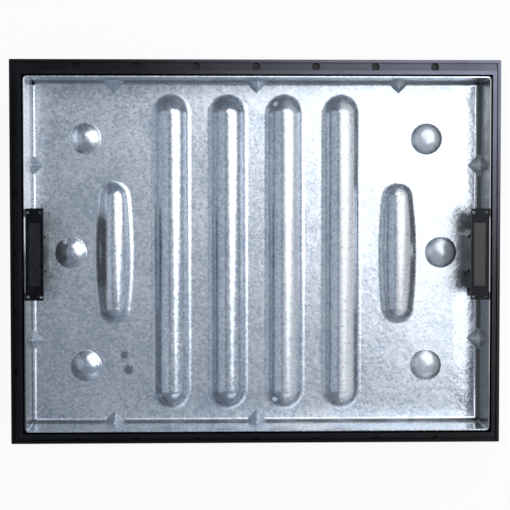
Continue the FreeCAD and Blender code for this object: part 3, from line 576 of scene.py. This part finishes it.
# The tool polished what it pressed up. The domes are painted a little darker as painted shade,
# and those at the right pale blue-grey as a painted reflection of the bright room.
pressed = lift.above(0.0005, 0.004) * lift.below(0.02, 0.03)
painted_dome_shade = pressed * outward.above(0.217, 0.227)
painted_dome_light = painted_dome_shade * east.above(0, 0.1)
base = zinc.blend(painted_dome_shade * 0.2, base, (0.3, 0.33, 0.37))
base = zinc.blend(painted_dome_light * 0.6, base, (0.72, 0.76, 0.82))
# On the right-hand ribs one side of each crest is painted white, partly scuffed zinc and partly
# a painted highlight, with brown specks there.
beside = east - (round(east / RIB_PITCH - 0.5) + 0.5) * RIB_PITCH
scuff_and_highlight = lift.above(0.005, 0.009) * lift.below(0.016, 0.018)
scuff_and_highlight = scuff_and_highlight * east.above(-0.02, 0.1) * beside.above(-0.006, 0.001)
specks = scuff_and_highlight * zinc.noise(190, 4, 0.6).above(0.58, 0.68)
base = zinc.blend(scuff_and_highlight * 0.8, base, (0.86, 0.87, 0.89))
base = zinc.blend(specks * 0.55, base, (0.25, 0.2, 0.16))
# Scratches run slantwise across the floor, many faint ones and a few long ones.
scratches = zinc.noise(1, 4, 0.75, zinc.mapped((0, 0, 0.75), (900, 22, 60))).above(0.62, 0.72)
for middle, turn, reach in (((0.148, -0.122), 0.88, 0.05), ((0.3, -0.2), 0.86, 0.03),
                            ((0.24, -0.07), 0.02, 0.11), ((-0.075, 0.02), 0.8, 0.035),
                            ((0.27, -0.19), 0.8, 0.045)):
    along = (east - middle[0]) * math.cos(turn) - (north - middle[1]) * math.sin(turn)
    across = (east - middle[0]) * math.sin(turn) + (north - middle[1]) * math.cos(turn)
    line = abs(across + (clouds - 0.5) * 0.003).below(0.0003, 0.0011)
    scratches = scratches + line * abs(along).below(reach * 0.8, reach) * fine.above(0.3, 0.6)
base = zinc.blend(scratches * 0.35, base, (0.36, 0.38, 0.41))
# Two dark smudges lie near a dome.
for middle, size in (((-0.18, -0.165), 0.009), ((-0.1855, -0.144), 0.0075)):
    gap = ((east - middle[0]) ** 2 + (north - middle[1]) ** 2) ** 0.5 + (fine - 0.5) * size
    base = zinc.blend(gap.below(size * 0.4, size) * 0.75, base, (0.12, 0.14, 0.18))
# The folds are painted dark as painted shade, the most at the right and the least at the top.
in_fold = lift.above(0.0001, 0.0012) * lift.below(0.005, 0.013)
fold_shade = in_fold * (east.above(0.304, 0.308) + north.below(-0.2365, -0.233) * 0.6
                   + north.above(0.233, 0.2365) * 0.35)
base = zinc.blend(fold_shade * (0.7 + clouds * 0.5), base, (0.13, 0.125, 0.1))
# Painted shade darkens the right-hand wall all along, and the left-hand one on one side of its
# housing only. The left-hand wall's other side is painted pale, a painted light.
left_wall = east.below(-0.3134, -0.3125)
lit_wall_half = left_wall * north.above(-0.01, 0.03)
shaded_wall_half = left_wall * north.below(-0.01, 0.03)
right_wall = east.above(0.3125, 0.3134)
base = zinc.blend(right_wall * 0.9 + shaded_wall_half * 0.85, base, (0.15, 0.15, 0.147))
base = zinc.blend(lit_wall_half * 0.95, base, (0.93, 0.94, 0.96))
# What shows through the housings' corner holes is painted dark as painted shade under the
# housings, apart from one of them.
housing_shade = outward.above(0.2965, 0.298) * sideways.above(0.05, 0.052)
housing_shade = housing_shade * sideways.below(0.0615, 0.0625)
lit_hole = east.above(0, 0.1) * north.above(0, 0.01) * outward.below(0.3095, 0.311)
base = zinc.blend(housing_shade * (1 - lit_hole) * 0.92, base, (0.02, 0.02, 0.022))
# The darts were stretched the most, which left their zinc a little duller. They are painted
# paler, partly for the stretching and partly as a painted highlight.
lane_gap = abs(east - round(east / DART_X) * DART_X)
long_wall_darts = lane_gap.below(0.013, 0.016) * sideways.above(0.22, 0.224)
short_wall_darts = abs(sideways - DART_Y).below(0.013, 0.016) * outward.above(0.295, 0.299)
stretched_and_lit = lift.above(0.0005, 0.002) * lift.below(0.0165, 0.018)
stretched_and_lit = stretched_and_lit * (long_wall_darts + short_wall_darts)
base = zinc.blend(stretched_and_lit * 0.5, base, (0.66, 0.7, 0.75))
zinc.feed(Base_Color=base,
          Metallic=0.85 - scuff_and_highlight * 0.6 - painted_dome_light * 0.45 - lit_wall_half * 0.3 - stretched_and_lit * 0.05,
          Roughness=0.23 - pressed * 0.05 + scuff_and_highlight * 0.04 + crystal_tone * 0.05 + clouds * 0.06
          - scratches * 0.05 + fold_shade * 0.2 + stretched_and_lit * 0.03 - east.above(0.27, 0.29) * 0.11,
          Normal=zinc.bump(clouds + fine * 0.02, 0.004, 0.3,
                           zinc.bump(crystal_tone + scratches * 0.6, 0.00003,
                                     0.5 - pressed * 0.3)))
cover(tray, zinc)
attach(tray, "root")
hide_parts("tray")


# ---- The key housings ---------------------------------------------------------------------
# Two mouldings in black polypropylene, open below, each with a flat top and a slot in it for
# the lifting key. Two rivets hold each to the inside of a short wall.
housing_plastic = moulded_plastic("housing_plastic", (0.003, 0.0034, 0.005),
                                  (0.03, 0.032, 0.04), dust=0.3, grain=1400, gloss=0.12)
for side in ("left", "right"):
    cover(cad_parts["key_housing_" + side], housing_plastic)


# ---- The key plates -----------------------------------------------------------------------
# Two bent brackets of zinc plated steel inside the housings, which the lifting key hooks under.
# They take its pull to the wall, and the housings' rivets hold them as well.
plated = Finish("bracket_plating", Metallic=0.9)
cloudy = plated.noise(45, 4)
plated.feed(Base_Color=plated.blend(cloudy, (0.4, 0.42, 0.44), (0.6, 0.62, 0.64)),
            Roughness=0.28 + cloudy * 0.2,
            Normal=plated.bump(plated.noise(700), 0.00004, 0.4))
for side in ("left", "right"):
    cover(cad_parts["key_plate_" + side], plated)


# ---- The caps -----------------------------------------------------------------------------
# Two flat caps in dark grey plastic, pushed into the key slots to keep the dirt out. They lie
# flush with the housings' tops, and boots have scuffed them.
cap_plastic = moulded_plastic("cap_plastic", (0.004, 0.0044, 0.006), (0.05, 0.053, 0.062),
                              dust=0.45, grain=1100, gloss=0.42)
for side in ("left", "right"):
    cover(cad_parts["key_cap_" + side], cap_plastic)


# ---- The rivets ---------------------------------------------------------------------------
# Four blind rivets of aluminium, two to a housing. Each goes through the tray's wall, the
# housing and the key plate, with its low head outside and its tail inside.
rivet_metal = Finish("rivet_aluminium", Metallic=0.95)
worn = rivet_metal.noise(400, 3)
rivet_metal.feed(Base_Color=rivet_metal.blend(worn, (0.5, 0.5, 0.5), (0.72, 0.72, 0.72)),
                 Roughness=0.3 + worn * 0.15,
                 Normal=rivet_metal.bump(worn, 0.00003, 0.5))
cover(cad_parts["housing_rivets"], rivet_metal)

({"cad": [list(cad_low), list(cad_high)],
           "scene": [list(corner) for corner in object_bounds()]})
